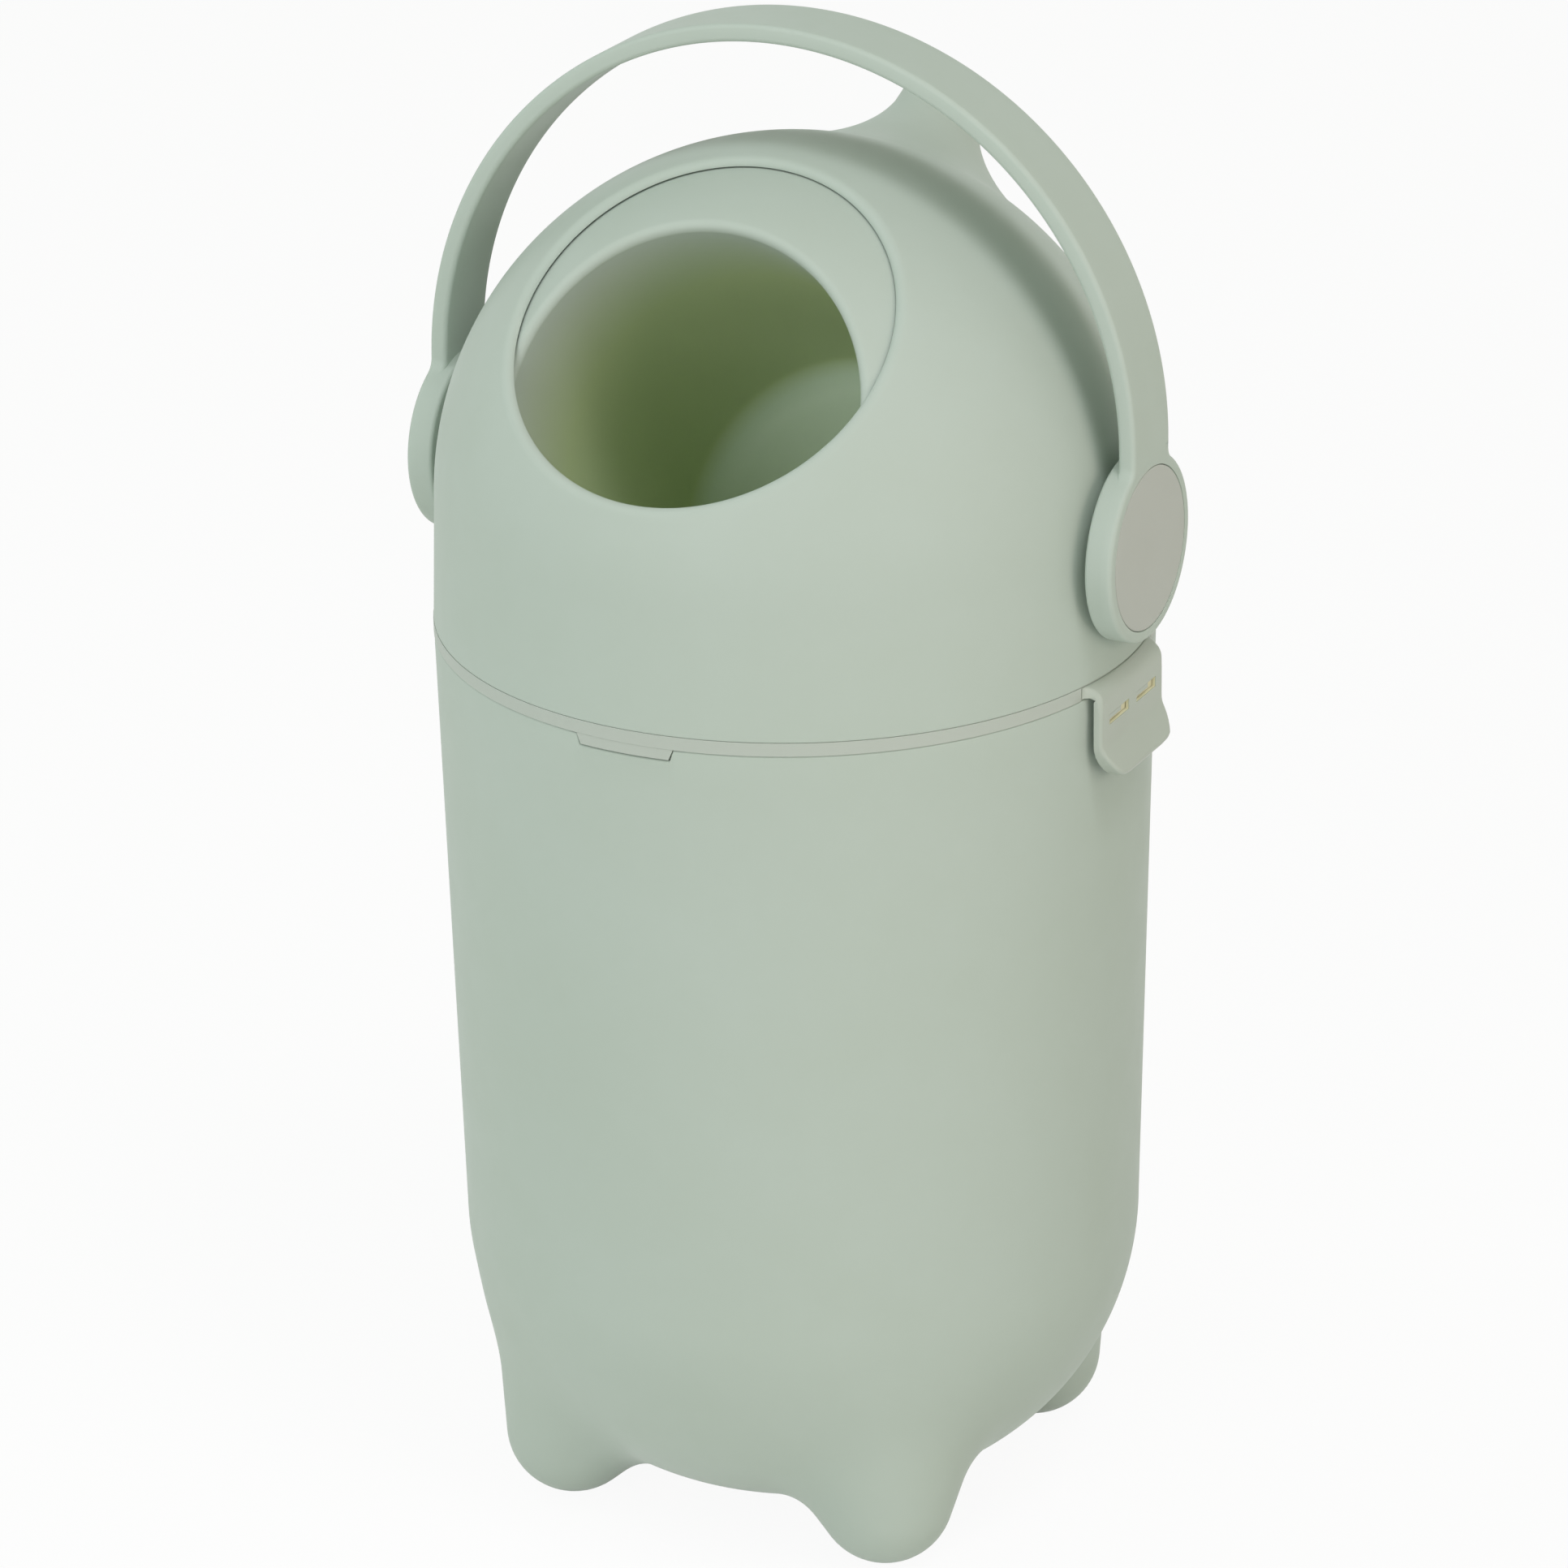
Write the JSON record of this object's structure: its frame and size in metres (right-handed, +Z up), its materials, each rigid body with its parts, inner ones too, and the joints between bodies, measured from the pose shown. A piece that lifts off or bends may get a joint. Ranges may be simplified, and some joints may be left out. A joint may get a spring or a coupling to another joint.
{
  "type": "nappy bin",
  "caption": "Free-standing nappy bin: tapered round tub on feet, side-hinged domed head with a press latch, and a drum with a drop cup that an arched handle turns.",
  "frame": {"origin": "centre of the bin at floor level, on the tub's axis", "axes": "+Z up, -Y towards the front where the drum's mouth opens, +X towards the latch side, -X towards the hinge side"},
  "size_m": [0.2968, 0.283, 0.5951],
  "materials": {
    "tub_plastic": "fine matte",
    "head_plastic": "fine matte",
    "handle_plastic": "fine matte",
    "drum_plastic": "smooth matte",
    "cap_plastic": "fine matte",
    "white_plastic": "smooth",
    "soft_rubber": "matte",
    "steel": "zinc plated"
  },
  "bodies": {
    "base": {"tub_shell": "tub_plastic", "foot_pads": "soft_rubber", "bag_ring": "white_plastic", "hinge_pin": "steel", "latch_pin": "steel"},
    "head": {"dome_shell": "head_plastic", "head_ring": "head_plastic", "ring_gasket": "soft_rubber", "ring_screws": "steel", "opening_seal": "soft_rubber", "bush_left": "white_plastic", "bush_right": "white_plastic"},
    "drum": {"drum_front_shell": "drum_plastic", "drum_rear_shell": "drum_plastic", "drum_screws": "steel", "shaft_left": "white_plastic", "shaft_right": "white_plastic", "shaft_screws": "steel", "handle_arch": "handle_plastic", "hub_washers": "steel", "hub_screws": "steel", "hub_cap_left": "cap_plastic", "hub_cap_right": "cap_plastic"},
    "latch": {"latch_flap": "handle_plastic"}
  },
  "joints": [
    {"name": "head_hinge", "type": "hinge", "parent": "base", "child": "head", "pos_m": [-0.1404, 0, 0.3329], "axis": [0, -1, 0], "range_deg": [0, 105]},
    {"name": "handle_turn", "type": "hinge", "parent": "head", "child": "drum", "pos_m": [0, 0, 0.4094], "axis": [1, 0, 0], "range_deg": [-34, 120]},
    {"name": "latch_press", "type": "hinge", "parent": "base", "child": "latch", "pos_m": [0.1387, 0, 0.3329], "axis": [0, 1, 0], "range_deg": [0, 16], "stiffness_Nm_per_rad": 0.3, "springref_deg": -11.46}
  ]
}
